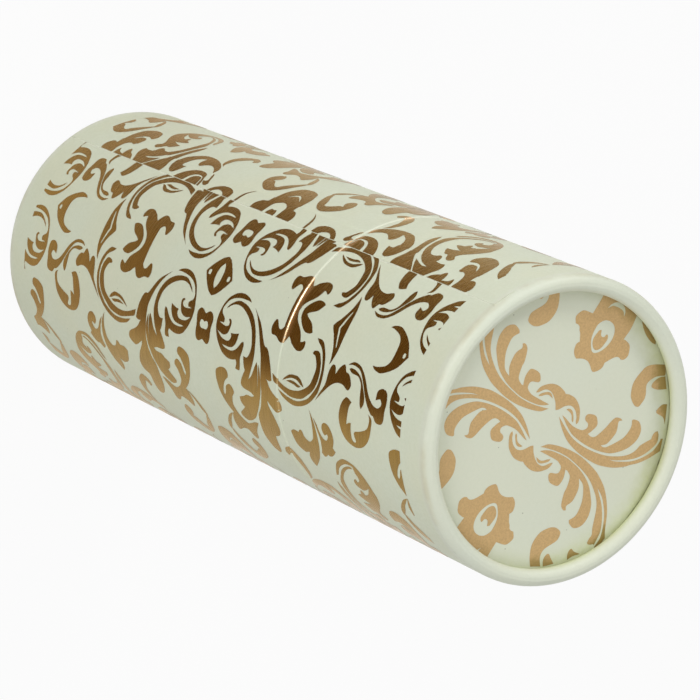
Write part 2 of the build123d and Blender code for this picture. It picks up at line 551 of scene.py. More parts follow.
comb_leaf = [
    [(1198, 557), (1210, 541), (1226, 520), (1230, 498), (1233, 488), (1237, 482), (1241, 480),
     (1246, 481), (1250, 487)],
    [(1252, 495), (1262, 480), (1273, 472), (1278, 475), (1281, 481)],
    [(1284, 484), (1290, 484), (1297, 488), (1306, 503), (1299, 513), (1280, 507), (1260, 509),
     (1240, 520)],
]
long_s = [
    [(1284, 470), (1292, 464), (1302, 461), (1322, 464), (1342, 478), (1365, 506), (1382, 518),
     (1398, 520), (1407, 512), (1405, 506), (1401, 503)],
    [(1388, 508), (1389, 492), (1402, 484), (1417, 488), (1422, 505), (1420, 520), (1419, 539),
     (1413, 545), (1397, 546)],
    [(1387, 537), (1380, 536), (1362, 520), (1338, 486), (1322, 471), (1300, 467)],
]
short_s = [
    [(1290, 476), (1296, 473), (1315, 475), (1333, 484), (1351, 508), (1354, 517), (1353, 526)],
    [(1347, 534), (1343, 530), (1340, 520), (1337, 500), (1334, 492), (1328, 486), (1320, 482),
     (1300, 481)],
]
moon = [
    [(1401, 410), (1400, 427), (1397, 437), (1388, 446), (1366, 453)],
    [(1353, 454), (1360, 459), (1382, 461), (1420, 442)],
    [(1440, 417)],
    [(1440, 410)],
]
hole_moon_eye = [
    [(1431.5, 417), (1430, 421), (1424, 421), (1424, 413), (1430, 413), (1431.5, 417)],
]
ring_hook = [
    [(1316, 530), (1303, 525), (1296, 526), (1284, 540), (1278, 565), (1285, 588), (1302, 604),
     (1330, 609), (1356, 601), (1375, 583), (1383, 560), (1383, 544)],
    [(1371, 537), (1375, 542), (1376, 550), (1370, 564), (1350, 574), (1330, 580)],
    [(1327, 584), (1329, 590), (1333, 597), (1330, 600), (1325, 600), (1320, 596), (1317, 580)],
    [(1318, 567), (1312, 568)],
    [(1303, 573), (1308, 545), (1311, 537)],
]
horn = [
    [(1177, 577), (1180, 585), (1184, 605), (1182, 627), (1178, 636), (1163, 645), (1149, 640)],
    [(1143, 629), (1138, 628), (1133, 631)],
    [(1130, 635), (1112, 635)],
    [(1101, 641), (1108, 660), (1115, 668), (1135, 675), (1145, 672)],
    [(1151, 671), (1146, 678), (1145, 686), (1148, 694)],
    [(1156, 701), (1184, 673), (1196, 645), (1196, 618), (1190, 597)],
]
claw = [
    [(1190, 590), (1200, 600), (1213, 620), (1227, 625), (1236, 615), (1234, 611), (1225, 615),
     (1220, 611), (1217, 604), (1219, 597), (1224, 592), (1231, 590), (1240, 592), (1248, 599),
     (1253, 608), (1254, 617), (1251, 626)],
    [(1246, 634)],
    [(1253, 641), (1240, 652), (1230, 656)],
    [(1222, 655), (1208, 663)],
    [(1200, 657), (1204, 648), (1206, 628)],
]
great_ring = [
    [(1225, 697), (1240, 670), (1250, 660), (1275, 648), (1305, 650), (1320, 657), (1333, 668),
     (1343, 682), (1349, 697), (1352, 706), (1348, 721), (1340, 733), (1322, 753)],
    [(1320, 761), (1330, 770), (1326, 776), (1318, 778), (1310, 774)],
    [(1303, 766), (1300, 763), (1290, 763), (1278, 753)],
    [(1274, 746), (1290, 744)],
    [(1307, 738), (1300, 738), (1282, 731)],
    [(1275, 726), (1282, 722), (1290, 720), (1293, 712)],
    [(1298, 707), (1303, 712), (1305, 717), (1320, 710)],
    [(1335, 691), (1328, 696), (1308, 704), (1290, 699), (1287, 693), (1290, 687), (1297, 683)],
    [(1300, 690), (1310, 682), (1309, 674), (1304, 668)],
    [(1302, 656), (1290, 655.5), (1275, 658), (1250, 673)],
    [(1234, 694)],
]
wave_a = [
    [(1232, 705), (1227, 716), (1227, 731), (1236, 763), (1250, 784), (1275, 803)],
    [(1303, 812), (1288, 812.5)],
    [(1257.5, 802.5), (1277, 825), (1287, 834), (1296, 846)],
    [(1303, 862), (1312, 850), (1328, 823), (1336, 811), (1338, 800)],
    [(1332.5, 791), (1325, 793)],
    [(1306, 792), (1302, 778), (1297, 773)],
    [(1290, 772), (1283, 777), (1275, 778.5), (1265, 776), (1250, 759), (1243, 736), (1245, 705),
     (1250, 694), (1265, 677.5), (1282, 666)],
    [(1300, 661), (1292, 658.5), (1275, 663.5), (1260, 672.5), (1250, 682)],
]
wave_b = [
    [(1213, 716), (1209, 731), (1210, 746), (1217, 773), (1220, 798), (1212.5, 824), (1221, 850),
     (1233, 866), (1250, 879)],
    [(1276, 888), (1290, 878), (1293, 862), (1290, 847), (1282, 833.5), (1243, 796), (1238, 784),
     (1228, 759), (1220, 731)],
]
ram_horn = [
    [(1361, 751), (1362, 744), (1375, 729), (1397, 725), (1418, 734), (1426, 744), (1432, 771)],
    [(1431, 806), (1438, 803), (1446, 804), (1453, 810), (1457, 818), (1457, 826), (1448, 838),
     (1436, 846), (1422, 848), (1412, 842), (1409, 833), (1410, 814), (1404, 799), (1392, 792),
     (1386, 794), (1381, 794), (1377, 790), (1373, 774), (1375, 768), (1381, 764), (1396, 765),
     (1402, 771)],
    [(1410, 778), (1407, 771), (1395, 759), (1380, 756), (1366, 760), (1362, 756)],
]
horn_foot = [
    [(1326, 840), (1337, 826), (1345, 820)],
    [(1354, 817), (1360, 809), (1364, 807), (1369, 811), (1372, 820)],
    [(1372, 828), (1388, 824)],
    [(1395, 815), (1399, 820), (1401, 828), (1400, 840), (1394, 856), (1382, 868), (1366, 874),
     (1348, 872), (1334, 862), (1326, 850)],
]
big_scroll = [
    [(1074, 789), (1076, 771), (1100, 754), (1130, 745), (1160, 745), (1175, 750), (1200, 769),
     (1207, 782), (1208, 794), (1205, 806), (1199, 816), (1190, 823), (1182, 825), (1174, 822),
     (1168, 814)],
    [(1162, 798), (1176, 798), (1178, 781), (1168, 766)],
    [(1148, 756), (1149, 771), (1146, 778), (1140, 782), (1134, 782), (1128, 777), (1112, 770),
     (1092, 775)],
]
arch = [
    [(1062, 833), (1066, 820), (1072, 811), (1080, 798), (1105, 794), (1130, 801), (1150, 818),
     (1158, 833), (1160, 848)],
    [(1154, 862), (1144, 858), (1134, 848), (1124, 833), (1116, 816), (1103, 807), (1082, 808),
     (1074, 818), (1068, 833)],
]
arch_leaf = [
    [(1072, 833), (1080, 812), (1090, 810), (1100, 812), (1108, 818), (1113, 833), (1111, 846),
     (1103, 856), (1092, 861)],
    [(1080, 862), (1073, 855), (1070, 845)],
]
seam_leaf = [
    [(1066, 790), (1060, 793), (1049, 811), (1044, 818), (1045, 824), (1051, 826), (1058, 824),
     (1064, 819)],
    [(1067, 814), (1061, 815), (1057, 812), (1058, 806), (1062, 800)],
]
hook_pair = [
    [(1046, 703), (1052, 692), (1070, 685), (1080, 688), (1098, 704), (1104, 728), (1097, 750)],
    [(1082, 760), (1088, 750), (1088, 740), (1088, 730)],
    [(1085, 722), (1074, 706), (1070, 700), (1062, 702), (1055, 709)],
]
gate = [
    [(796, 728), (815, 732), (825, 739), (838, 763)],
    [(841, 803), (848, 805), (856, 807), (866, 820), (864, 836), (855, 846), (843, 850), (830, 846),
     (822, 838), (819, 811), (816, 803), (803, 795)],
    [(796, 794)],
]
hole_gate_slit = [
    [(796, 758), (805, 762)],
    [(820, 777), (804, 766)],
    [(796, 763)],
]
gate_block = [
    [(796, 820), (803, 818), (808, 824), (810, 833), (808, 846), (803, 856)],
    [(796, 860)],
]
sickle = [
    [(901, 790), (910, 796), (918, 804), (923, 814), (925, 833), (923, 848), (916, 862)],
    [(904, 872), (916, 846), (918, 833), (914, 806)],
]
curl_arch = [
    [(948, 840), (948, 824), (952, 816), (970, 809), (995, 810), (1015, 820), (1026, 833), (1033, 850),
     (1034, 870), (1028, 888), (1016, 902), (1000, 910)],
    [(984, 908), (998, 900), (1008, 888), (1013, 872), (1011, 832), (1004, 826), (998, 823),
     (988, 823), (978, 826), (970, 832), (966, 842), (968, 853)],
    [(974, 860), (964, 862), (954, 855)],
]

scrolls = [medallion, block, volute, ring, side_leaf, plume, hook_leaf, scroll_sliver, scroll_head,
           crossing, bow, inner_c, outer_c, upper_lid, lower_lid, kite, comb_leaf, long_s, short_s,
           moon, ring_hook, horn, claw, great_ring, wave_a, wave_b, ram_horn, horn_foot, big_scroll,
           arch, arch_leaf, seam_leaf, hook_pair, gate, gate_block, sickle, curl_arch]
gaps = [hole_medallion_slot, hole_medallion_dot, hole_block_window, hole_kite_slit, hole_moon_eye,
        hole_gate_slit]


def moved(outline, columns, rows=0):
    """Copy of an outline moved on the sheet."""
    return [[(c + columns, r + rows) for c, r in run] for run in outline]


def turned_over(outline, row):
    """Copy of an outline turned over about a row of the sheet."""
    return [[(c, 2 * row - r) for c, r in run] for run in outline]


# Towards the top the scrolls of the middle come again; on the back some of them are turned over.
top_shift = 593
scrolls += [moved(outline, top_shift) for outline in (volute, ring, hook_leaf, scroll_sliver, scroll_head)]

back_turn = (middle_row + back_row) / 2
back_scrolls = ((medallion, 0, 0), (block, 0, 0), (volute, 200, 0), (crossing, 230, 0), (bow, 230, 0),
                (ring_hook, -400, 100), (claw, 0, 100), (kite, -20, 0), (comb_leaf, 180, 15))
back_gaps = ((hole_medallion_slot, 0), (hole_medallion_dot, 0), (hole_block_window, 0),
             (hole_kite_slit, -20))
scrolls += [moved(turned_over(outline, back_turn), columns, rows)
            for outline, columns, rows in back_scrolls]
gaps += [moved(turned_over(outline, back_turn), columns) for outline, columns in back_gaps]

curve_step = 3.5                        # drawing units between points of a smooth curve
merge_distance = 1e-4                   # points nearer than this become one
sliver = 1e-4                           # triangles under half this area are left out


def smooth_run(points):
    """Points of a smooth curve through a run, without its last point."""
    curve = []
    for i in range(len(points) - 1):
        here, there = Vector(points[i]), Vector(points[i + 1])
        before = Vector(points[i - 1]) if i else 2 * here - there
        after = Vector(points[i + 2]) if i + 2 < len(points) else 2 * there - here
        gap = (there - here).length
        leave = (there - before) * gap / (gap + (here - before).length)
        arrive = (after - here) * gap / (gap + (after - there).length)
        pieces = max(1, round(gap / curve_step))
        for t in (k / pieces for k in range(pieces)):
            curve.append((2 * t**3 - 3 * t**2 + 1) * here + (t**3 - 2 * t**2 + t) * leave
                         + (3 * t**2 - 2 * t**3) * there + (t**3 - t**2) * arrive)
    return curve


def smooth_outline(outline):
    """Closed curve through an outline; each run ends where the next one starts."""
    curve = []
    for i, run in enumerate(outline):
        follow = outline[(i + 1) % len(outline)][0]
        curve += smooth_run(run if len(outline) == 1 else run + [follow])
    return curve


def inside(points, curve):
    """Which of the points lie inside a closed curve."""
    x, y = points[:, 0], points[:, 1]
    found = np.zeros(len(points), bool)
    for a, b in zip(curve, curve[1:] + curve[:1]):
        crosses = (a.y > y) != (b.y > y)
        if a.y != b.y:
            found ^= crosses & (x < (b.x - a.x) * (y - a.y) / (b.y - a.y) + a.x)
    return found


def filled(outlines, holes, cuts):
    """Flat triangles that fill the outlines and leave the holes, also parted along the cuts."""
    curves = [smooth_outline(o) for o in outlines]
    openings = [smooth_outline(o) for o in holes]
    points, edges = [], []
    for line in curves + openings:
        first = len(points)
        points += line
        edges += [(first + i, first + (i + 1) % len(line)) for i in range(len(line))]
    for start, end in cuts:
        edges.append((len(points), len(points) + 1))
        points += [Vector(start), Vector(end)]
    corners, _, faces, _, _, _ = delaunay_2d_cdt(points, edges, [], 0, merge_distance)
    corners = np.array([tuple(c) for c in corners])
    faces = np.array([tuple(f) for f in faces])
    middles = corners[faces].mean(1)
    kept = np.zeros(len(faces), bool)
    for line in curves:
        kept |= inside(middles, line)
    for line in openings:
        kept &= ~inside(middles, line)
    side = corners[faces[:, 0]] - corners[faces[:, 2]]
    other = corners[faces[:, 1]] - corners[faces[:, 2]]
    kept &= abs(side[:, 0] * other[:, 1] - side[:, 1] * other[:, 0]) > sliver
    return corners, faces[kept]


# The cell between the mirror lines is cut into rows so that it can be bent round the tube, along the
# lap's step, and at the mouths, where the foil goes over their rounded edges.
cell_end = 2 * middle_column - field_start
seam_column = seam_height / drawing_scale
sheet_end = sheet_start + round(2 * math.pi * tube_radius / drawing_scale)
lap_row = sheet_end - lap_width / drawing_scale
lap_slope = 0.5                         # half the width of the step at the lap, drawing units
round_columns = mouth_round / drawing_scale
mouth_steps = (0.12, 0.3, 0.6, 1.0)     # cuts over the rounding, as shares of it
print_end = mouth_steps[0] * round_columns      # the foil ends this far short of the seam
bend_step = 10                          # drawing units between cuts along the tube
overrun = 5                             # the cuts reach this far past the cell

row_cuts = list(range(middle_row + bend_step, int(back_row), bend_step))
row_cuts += [middle_row, back_row, 2 * middle_row - sheet_start, sheet_end - repeat_rows]
row_cuts += [lap_row - repeat_rows - lap_slope, lap_row - repeat_rows + lap_slope]
column_cuts = [middle_column, cell_end, field_end]
column_cuts += [seam_column + way * share * round_columns for share in mouth_steps for way in (-1, 1)]
column_cuts += [seam_column]
cuts = [((middle_column - overrun, row), (cell_end + overrun, row)) for row in row_cuts]
cuts += [((column, middle_row - overrun), (column, back_row + overrun)) for column in column_cuts]
cell_corners, cell_faces = filled(scrolls, gaps, cuts)
cell_middles = cell_corners[cell_faces].mean(1)


def on_sheet(copy_of_rows, mirrored_columns):
    """The cell's corners at one of its places on the sheet, and whether it is turned over there."""
    columns, rows = cell_corners[:, 0].copy(), cell_corners[:, 1].copy()
    turned = copy_of_rows % 2 == 1
    if turned:
        rows = 2 * middle_row - rows + (copy_of_rows + 1) // 2 * repeat_rows
    else:
        rows = rows + copy_of_rows // 2 * repeat_rows
    if mirrored_columns:
        columns = 2 * middle_column - columns
    return np.stack([columns, rows], 1), turned != mirrored_columns


def around_tube(sheet, seam_side):
    """Places and outward directions on the tube of points of the sheet."""
    height = sheet[:, 0] * drawing_scale
    angle = first_angle + sheet[:, 1] * drawing_scale / tube_radius
    off_mouth = np.clip(abs(height - seam_height), 0, mouth_round)
    lean = mouth_round - off_mouth
    drop = mouth_round - np.sqrt(np.maximum(mouth_round**2 - lean**2, 0))
    tilt = np.arcsin(np.clip(lean / mouth_round, 0, 1)) * seam_side
    step = lap_step * np.clip((sheet[:, 1] - lap_row) + lap_slope, 0, 1)
    radius = tube_radius - drop + step + foil_lift * np.cos(tilt)
    height = height + foil_lift * np.sin(tilt)
    places = np.stack([radius * np.cos(angle), radius * np.sin(angle), height], 1)
    facing = np.stack([np.cos(tilt) * np.cos(angle), np.cos(tilt) * np.sin(angle), np.sin(tilt)], 1)
    return places, facing


def mesh_piece(name, places, faces, facings, finish):
    """Object from arrays of places, triangles and the direction each place faces."""
    mesh = bpy.data.meshes.new(name)
    mesh.from_pydata(places.tolist(), [], faces.tolist())
    mesh.validate()
    mesh.shade_smooth()
    mesh.normals_split_custom_set_from_vertices(facings.tolist())
    mesh.materials.append(finish)
    piece = bpy.data.objects.new(name, mesh)
    bpy.context.scene.collection.objects.link(piece)
    return piece


def foil_piece(name, low_column, high_column, seam_side, finish):
    """Mesh of all the scrolls between two columns; seam_side is 1 below the seam and -1 above it."""
    places, facings, faces, count = [], [], [], 0
    in_cell = (cell_middles > (middle_column, middle_row)).all(1) & (cell_middles[:, 1] < back_row)
    for copy_of_rows in (-1, 0, 1, 2):
        for mirrored_columns in (False, True):
            sheet, flipped = on_sheet(copy_of_rows, mirrored_columns)
            columns, rows = sheet[cell_faces].mean(1).T
            own = in_cell & (columns > low_column) & (columns < high_column)
            own &= (rows > sheet_start) & (rows < sheet_end)
            used, renumbered = np.unique(cell_faces[own], return_inverse=True)
            place, facing = around_tube(sheet[used], seam_side)
            triangles = renumbered.reshape(-1, 3) + count
            if not flipped:
                triangles = triangles[:, ::-1]
            places.append(place)
            facings.append(facing)
            faces.append(triangles)
            count += len(used)
    return mesh_piece(name, np.concatenate(places), np.concatenate(faces), np.concatenate(facings), finish)


bright_gold = (0.35, 0.225, 0.058)
mouth_glint_gold = (0.82, 0.60, 0.38)     # painted glint on the mouths' rounded edges
warm_edge = (1.0, 0.95, 0.88)
rub_slant = 0.12                        # how far the rub lines climb as they go round
foil_mouth = 0.0036                     # the painted glint has faded this far from the seam
foil_base_side = 2.2                    # and this much sooner on the base
foil_relief = 0.00007


def foil_finish(name, colour, rough_low, rough_high):
    """Gold foil: metal with fine rub lines round the tube, thinner where the plate pressed less, and a
    painted glint over the mouths.
    """
    finish, tree, shader = new_finish(name, colour, rough_low, 1.0)
    where, _, angle, height = tube_places(tree)
    way_round = product(tree, angle, tube_radius)
    climbed = calc(tree, "ADD", height, product(tree, way_round, rub_slant))
    rubs = noise(tree, join_place(tree, product(tree, way_round, 0.1), climbed, 0.0), 1300.0, 3.0, 0.65)
    clouds = noise(tree, where, 55.0, 3.0, 0.5)
    worn = calc(tree, "ADD", product(tree, rubs, 0.6), product(tree, clouds, 0.4))
    tone = blend_colour(tree, band(tree, worn, 0.35, 0.68), colour, darker(colour, 0.80))
    # Painted glint where the foil goes over the rounded mouths.
    mouth_glint = mouth_edge(tree, angle, height, foil_mouth, foil_base_side)
    tone = blend_colour(tree, mouth_glint, tone, mouth_glint_gold)
    feed(tree, shader.inputs["Base Color"], tone)
    feed(tree, shader.inputs["Roughness"], band(tree, rubs, 0.3, 0.7, rough_low, rough_high))
    shader.inputs["Specular Tint"].default_value = (*warm_edge, 1.0)
    shader.inputs["Coat Weight"].default_value = 0.06
    shader.inputs["Coat Roughness"].default_value = 0.3
    off_lap = calc(tree, "ABSOLUTE", calc(tree, "SUBTRACT", angle, lap_edge))
    rubbed = band(tree, off_lap, 0.2, 0.6, 4.2, 0.6)
    raise_surface(tree, shader, product(tree, rubs, rubbed), foil_relief)
    return finish


tube_foil = foil_finish("gold_foil", bright_gold, 0.18, 0.34)
base_scrolls = foil_piece("base_foil", field_start, seam_column - print_end, 1, tube_foil)
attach(base_scrolls, "base")

# The lid is made like the base: a short wound tube with its top curled inwards, a flat board disc
# pressed behind the curl and faced with the same paper, and a printed wrap folded into the mouth.

for node, finish in (("lid_tube", tube_finish), ("lid_end_disc", disc_finish),
                     ("lid_disc_paper", disc_paper), ("lid_wrap", wrap_paper)):
    dress(node, finish)

# The lid's foil is the same hot-stamped gold leaf. The scrolls run on over the seam, because the
# wraps of base and lid were cut from one printed sheet.

lid_scrolls = foil_piece("lid_foil", seam_column + print_end, field_end, -1, tube_foil)
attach(lid_scrolls, "lid")

# The end prints carry the same kind of scrolls in a matt gold, printed on the disc paper before it
# was punched, so that they are cut through at its edge. The ornament is the same when it is turned
# half round.

disc_scale = 0.001 / 8                  # metres per drawing unit
disc_middle = (400, 400)                # axis of the tube in the drawing
half_turn_middle = (424.5, 395.5)       # the ornament turns about this point
disc_turn = math.radians(-89.76)        # direction of the drawing's columns, round from +X
print_radius = tube_radius - 0.0044     # the foil passes under the curl here
inside_rim = 0.9995                     # triangles inside that edge have their middles this near

great_leaf = [
    [(441, 453), (455, 446), (475, 441), (520, 441), (545, 445), (590, 459), (628, 482), (656, 515),
     (665, 532), (669, 560), (660, 585), (640, 597), (620, 590)],
    [(616, 583), (628, 570), (632, 557), (630, 525), (617, 495), (608, 485)],
    [(592, 477), (603, 500), (603, 530), (598, 542), (590, 552), (590, 557)],
    [(594, 563), (588, 566), (580, 563), (573, 555), (566, 525), (567, 510), (562, 482), (547, 471)],
    [(540, 470), (545, 492), (540, 513), (530, 517), (508, 514), (497, 500), (499, 493), (522, 486),
     (524, 470), (510, 460), (498, 457)],
]
great_band = [
    [(437, 443), (460, 428), (520, 421), (570, 425), (620, 439), (645, 450), (683, 477), (718, 523),
     (739, 573)],
    [(748, 590)],
    [(737, 628)],
    [(727, 622), (721, 615), (714, 619), (704, 621)],
    [(700, 618), (701, 606), (704, 596), (697, 579), (681, 525), (660, 497), (615, 465), (545, 442),
     (500, 437), (455, 440)],
]
hole_great_slit = [
    [(660, 481), (679, 493), (694, 507), (717, 540), (733, 591)],
    [(727, 622), (724, 618), (725, 577), (700, 524)],
]
second_leaf = [
    [(460, 349), (470, 351), (505, 363), (535, 364), (545, 359), (550, 352), (549, 345), (545, 341),
     (538, 339), (532, 334), (531, 326), (536, 320), (555, 316), (565, 319), (576, 336), (568, 355)],
    [(560, 366), (570, 369), (580, 368), (588, 362), (603, 337), (620, 302), (637, 297)],
    [(645, 300), (636, 306), (641, 325), (642, 337), (632, 365), (625, 373)],
    [(613, 379), (622, 381), (633, 377), (668, 343), (676, 328), (680, 310), (679, 300)],
    [(674, 290), (678, 286), (698, 286), (714, 303), (715, 328), (700, 355), (675, 376), (645, 390),
     (585, 395), (520, 385), (490, 370)],
]
second_band = [
    [(452, 355), (472, 376), (500, 398), (525, 410), (565, 421), (615, 427), (640, 426), (680, 418),
     (715, 403), (725, 396), (749, 382), (774, 361)],
    [(800, 332)],
    [(792, 300)],
    [(779, 305), (774, 296)],
    [(766, 288), (759, 294), (756, 306), (757, 313), (749, 321), (731, 341), (727, 351), (719, 363),
     (705, 375), (680, 387), (640, 398), (590, 401), (545, 397), (508, 386)],
]
hole_second_slit = [
    [(655, 404), (680, 398), (729, 377), (757, 354), (777, 323), (779, 311)],
    [(774, 296), (784, 300), (786, 312), (775, 343), (733, 381), (680, 401)],
]
clasp = [
    [(355, 324), (358, 313), (365, 303), (388, 289), (412, 286), (437, 293), (443, 297), (455, 295),
     (478, 298), (502, 315), (515, 340), (516, 350)],
    [(513, 356), (508, 350), (505, 340), (492, 325), (475, 319), (458, 325), (442, 340)],
    [(434, 344), (422, 325), (400, 308), (380, 307), (362, 321)],
]
clasp_left = [
    [(366, 330), (370, 322), (388, 311), (398, 310), (405, 314)],
    [(411, 321), (395, 317), (385, 320), (376, 326)],
]
clasp_right = [
    [(465, 332), (470, 328), (478, 327), (487, 331), (500, 350)],
    [(500, 355), (495, 352), (490, 343), (482, 336)],
]
rosette = [
    [(427, 25), (426, 47)],
    [(419, 88), (395, 89), (385, 93), (374, 112)],
    [(382, 128), (390, 128), (397, 131), (402, 140), (407, 145)],
    [(417, 165), (411, 172), (410, 182), (413, 193), (420, 202)],
    [(428, 207), (445, 201), (460, 200), (470, 203), (480, 210), (487, 217)],
    [(494, 220), (502, 216), (512, 207), (517, 197)],
    [(517, 187), (535, 168), (545, 161), (553, 160)],
    [(560, 163), (568, 161), (575, 153), (577, 143), (568, 121), (550, 114)],
    [(543, 114), (551, 80)],
    [(550, 25)],
]
hole_egg = [
    [(478, 87), (465, 90), (455, 98), (447, 112), (447, 145), (462, 172), (471, 176), (480, 173),
     (492, 163), (502, 148), (508, 130), (508, 112), (502, 98), (492, 90), (478, 87)],
]
flame = [
    [(459, 120), (453, 143), (456, 155), (463, 164), (472, 168), (480, 165), (488, 156), (495, 133),
     (493, 124), (488, 120), (485, 123), (483, 129), (476, 131), (470, 127), (466, 116), (459, 120)],
]
hole_smile = [
    [(515, 62), (513, 51), (504, 40), (489, 35), (474, 38), (462, 48)],
    [(456, 61), (470, 49), (504, 50)],
]
hook_h = [
    [(175, 538), (185, 537), (200, 545), (212, 558), (220, 590), (208, 630), (198, 643), (180, 653)],
    [(148, 664), (135, 640), (150, 632), (165, 622), (178, 600), (168, 575), (166, 562), (172, 541)],
]
hook_j = [
    [(288, 63), (303, 88), (311, 118), (303, 150), (283, 170), (268, 177), (255, 177), (243, 172),
     (240, 160), (243, 148), (268, 118), (272, 105), (270, 92)],
    [(258, 73)],
]
rim_a = [
    [(222, 92)],
    [(250, 75), (257, 88), (258, 98), (254, 108), (248, 110), (240, 104)],
]
rim_b = [
    [(155, 140), (175, 127)],
    [(186, 114), (191, 122), (193, 135), (188, 144), (178, 140)],
]
rim_c = [
    [(112, 609), (140, 598), (160, 598), (162, 608), (150, 627)],
    [(133, 637)],
]
rim_d = [
    [(70, 525), (85, 540), (113, 545), (105, 568)],
    [(90, 575)],
]
rim_e = [
    [(205, 699), (220, 700), (240, 708), (258, 720)],
    [(274, 736)],
    [(250, 755)],
    [(215, 730)],
]

disc_shapes = [great_leaf, great_band, second_leaf, second_band, clasp, clasp_left, clasp_right, rosette,
               hook_h, hook_j, rim_a, rim_b, rim_c, rim_d, rim_e]
disc_gaps = [hole_great_slit, hole_second_slit, hole_smile]


def half_turned(outline):
    """The outline turned half round in the drawing."""
    across, down = half_turn_middle
    return [[(2 * across - c, 2 * down - r) for c, r in run] for run in outline]


def disc_drawing():
    """Triangles of the whole end print, with the flame standing in its egg."""
    both = disc_shapes + [half_turned(o) for o in disc_shapes]
    openings = disc_gaps + [half_turned(o) for o in disc_gaps]
    openings += [hole_egg, half_turned(hole_egg)]
    flames = [flame, half_turned(flame)]
    reach = print_radius / disc_scale
    turns = [math.radians(degrees) for degrees in range(0, 360, 2)]
    rim = [(disc_middle[0] + reach * math.cos(a), disc_middle[1] + reach * math.sin(a)) for a in turns]
    cuts = list(zip(rim, rim[1:] + rim[:1]))
    corners, faces = filled(both, openings, cuts)
    flame_corners, flame_faces = filled(flames, [], [])
    faces = np.concatenate([faces, flame_faces + len(corners)])
    corners = np.concatenate([corners, flame_corners])
    middles = corners[faces].mean(1) - disc_middle
    faces = faces[np.hypot(*middles.T) < reach * inside_rim]
    used, faces = np.unique(faces, return_inverse=True)
    return corners[used], faces.reshape(-1, 3)


disc_corners, disc_faces = disc_drawing()


def disc_piece(name, height, facing_up, finish):
    """The end print laid on a disc."""
    flat = (disc_corners - disc_middle) * disc_scale
    x = flat[:, 0] * math.cos(disc_turn) + flat[:, 1] * math.sin(disc_turn)
    y = flat[:, 0] * math.sin(disc_turn) - flat[:, 1] * math.cos(disc_turn)
    faces = disc_faces[:, ::-1] if facing_up else disc_faces
    places = np.stack([x, y if facing_up else -y, np.full(len(x), height)], 1)
    facings = np.tile((0.0, 0.0, 1.0 if facing_up else -1.0), (len(x), 1))
    return mesh_piece(name, places, faces, facings, finish)


matt_gold = (0.60, 0.40, 0.178)
stained_gold = (0.30, 0.21, 0.055)
gold_stain_ring = (contact_radius - 0.001, contact_radius + 0.003)
matt_relief = 0.00003


def matt_foil_finish(name, colour):
    """Matt gold print: metal powder in lacquer, grainy, with no mirror in it."""
    finish, tree, shader = new_finish(name, colour, 0.5, 0.35)
    where, across, angle, _ = tube_places(tree)
    grain = noise(tree, where, 1500.0, 4.0, 0.7)
    clouds = noise(tree, where, 60.0, 3.0, 0.5)
    tone = blend_colour(tree, band(tree, grain, 0.3, 0.7), colour, darker(colour, 0.82))
    tone = blend_colour(tree, band(tree, clouds, 0.35, 0.7, 0.0, 0.3), tone, darker(colour, 0.85))
    patches = noise(tree, where, 130.0, 4.0, 0.6)
    reach = calc(tree, "ADD", across, product(tree, patches, 0.010))
    stain = band(tree, reach, *gold_stain_ring, 0.0, 0.9)
    tone = blend_colour(tree, product(tree, glue_and_shade_side(tree, angle), stain), tone, stained_gold)
    feed(tree, shader.inputs["Base Color"], tone)
    feed(tree, shader.inputs["Roughness"], band(tree, grain, 0.3, 0.7, 0.42, 0.6))
    ripple = product(tree, noise(tree, where, 500.0, 3.0, 0.6), 2.0)
    raise_surface(tree, shader, calc(tree, "ADD", grain, ripple), matt_relief)
    return finish


matt_foil = matt_foil_finish("matt_gold", matt_gold)
lid_end_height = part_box("lid_disc_paper")[1].z + foil_lift
lid_end_scrolls = disc_piece("lid_end_foil", lid_end_height, True, matt_foil)
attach(lid_end_scrolls, "lid")
base_end_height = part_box("base_disc_paper")[0].z - foil_lift
base_end_scrolls = disc_piece("base_end_foil", base_end_height, False, matt_foil)
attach(base_end_scrolls, "base")

# The floor is a white studio table. It shows as plain white to the camera and in reflections, and
# keeps a faint shadow of the box.

floor_half = 6.0
floor_height = -0.0002                  # just under the foot, so that the two don't coincide
floor_white = (0.55, 0.55, 0.55)
floor_glow = 0.94                       # share of the floor that shows as plain white


def seen_directly(tree):
    """1 for rays from the camera, from a mirror or through glass, else 0."""
    rays = tree.nodes.new("ShaderNodeLightPath")
    mirrored = calc(tree, "MAXIMUM", rays.outputs["Is Glossy Ray"], rays.outputs["Is Transmission Ray"])
    return calc(tree, "MAXIMUM", rays.outputs["Is Camera Ray"], mirrored)


def floor_finish():
    """White floor that keeps a faint shadow."""
    finish, tree, shader = new_finish("floor_white", floor_white, 0.9)
    shader.inputs["Specular IOR Level"].default_value = 0.0
    glow = tree.nodes.new("ShaderNodeEmission")
    glow.inputs["Color"].default_value = (1.0, 1.0, 1.0, 1.0)
    mix = tree.nodes.new("ShaderNodeMixShader")
    feed(tree, mix.inputs[0], product(tree, seen_directly(tree), floor_glow))
    feed(tree, mix.inputs[1], shader.outputs[0])
    feed(tree, mix.inputs[2], glow.outputs[0])
    feed(tree, tree.nodes["Material Output"].inputs[0], mix.outputs[0])
    return finish


def flat_object(name, corners, faces, finish):
    """Object from a few flat faces."""
    mesh = bpy.data.meshes.new(name)
    mesh.from_pydata(corners, [], faces)
    mesh.materials.append(finish)
    piece = bpy.data.objects.new(name, mesh)
    bpy.context.scene.collection.objects.link(piece)
    return piece


floor_corners = [(-floor_half, -floor_half, 0), (floor_half, -floor_half, 0),
                 (floor_half, floor_half, 0), (-floor_half, floor_half, 0)]
floor = flat_object("floor", floor_corners, [(0, 1, 2, 3)], floor_finish())
floor.location.z = floor_height

# The light is a white room and three softboxes, all turned towards the middle of the box: the
# small key on the left, one in front, and a large one high on the right that fills the shadows.

